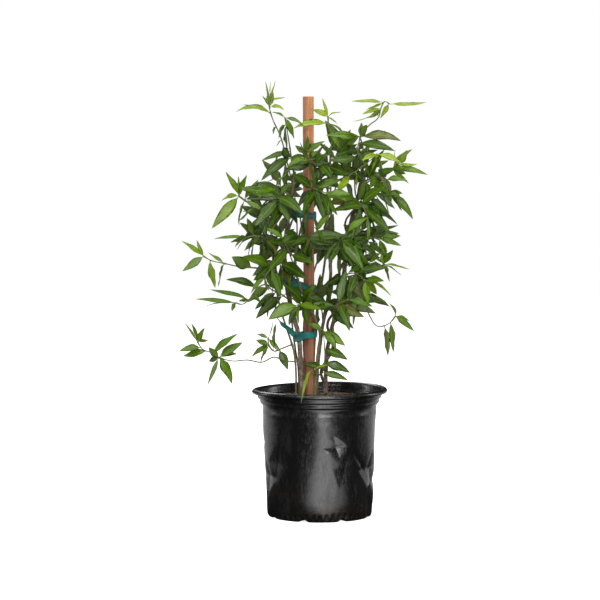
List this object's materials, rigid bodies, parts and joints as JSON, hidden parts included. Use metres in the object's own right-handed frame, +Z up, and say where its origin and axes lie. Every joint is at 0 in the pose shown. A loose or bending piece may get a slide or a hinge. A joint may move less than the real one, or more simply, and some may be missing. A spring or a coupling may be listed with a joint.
{
  "type": "potted vine plant",
  "caption": "Young Carolina jasmine: twining stems and leafy shoots tied with tape to a square stake in a thin plastic nursery pot of soil.",
  "frame": {"origin": "middle of the pot's base, on the surface that the pot stands on", "axes": "+Z up along the stake, -Y towards the plant's front, +X to the right as seen from the front"},
  "size_m": [0.301, 0.2099, 0.532],
  "materials": {
    "pot_plastic": "satin",
    "potting_mix": "matte",
    "redwood": "matte",
    "tie_tape": "satin",
    "brown_bark": "matte",
    "green_bark": "matte",
    "leaf": "satin"
  },
  "bodies": {
    "root": {"pot": "pot_plastic", "soil": "potting_mix", "stake": "redwood", "tie_low": "tie_tape", "tie_middle": "tie_tape", "tie_upper": "tie_tape", "stem_left": "brown_bark", "stem_dark_outer": "green_bark", "stem_dark_inner": "green_bark", "stem_dark_back": "green_bark", "stem_right": "brown_bark", "stem_tan": "green_bark", "stem_old": "brown_bark", "stem_back": "green_bark", "stem_twining": "brown_bark", "shoot_crest": "leaf", "shoot_crest_low": "leaf", "shoot_stake_top": "leaf", "shoot_bud": "leaf", "shoot_top_right": "leaf", "shoot_dark_top": "leaf", "shoot_right_tip": "leaf", "shoot_palm": "leaf", "shoot_right_shoulder": "leaf", "shoot_right_high": "leaf", "shoot_right_middle": "leaf", "shoot_right_inner": "leaf", "shoot_right_arch": "leaf", "shoot_right_low": "leaf", "shoot_upper_left": "leaf", "shoot_left_shoulder": "leaf", "shoot_left_middle": "leaf", "shoot_left_hanging": "leaf", "shoot_left_low": "leaf", "shoot_left_base": "leaf", "shoot_right_base": "leaf", "shoot_rim": "leaf", "shoot_front_low": "leaf", "shoot_front_low_right": "leaf", "shoot_front_left": "leaf", "shoot_front_middle": "leaf", "shoot_front_right": "leaf", "shoot_front_left_high": "leaf", "shoot_front_high": "leaf", "shoot_front_right_high": "leaf", "shoot_left_high": "leaf", "shoot_front_left_middle": "leaf", "shoot_front_right_low": "leaf", "shoot_crown_front": "leaf", "shoot_crown_right": "leaf", "shoot_back_low": "leaf", "shoot_back_left_low": "leaf", "shoot_back_left": "leaf", "shoot_back_middle": "leaf", "shoot_back_right": "leaf", "shoot_back_right_low": "leaf", "shoot_back_left_high": "leaf", "shoot_back_high": "leaf", "shoot_back_right_high": "leaf", "shoot_back_top": "leaf"}
  },
  "joints": []
}
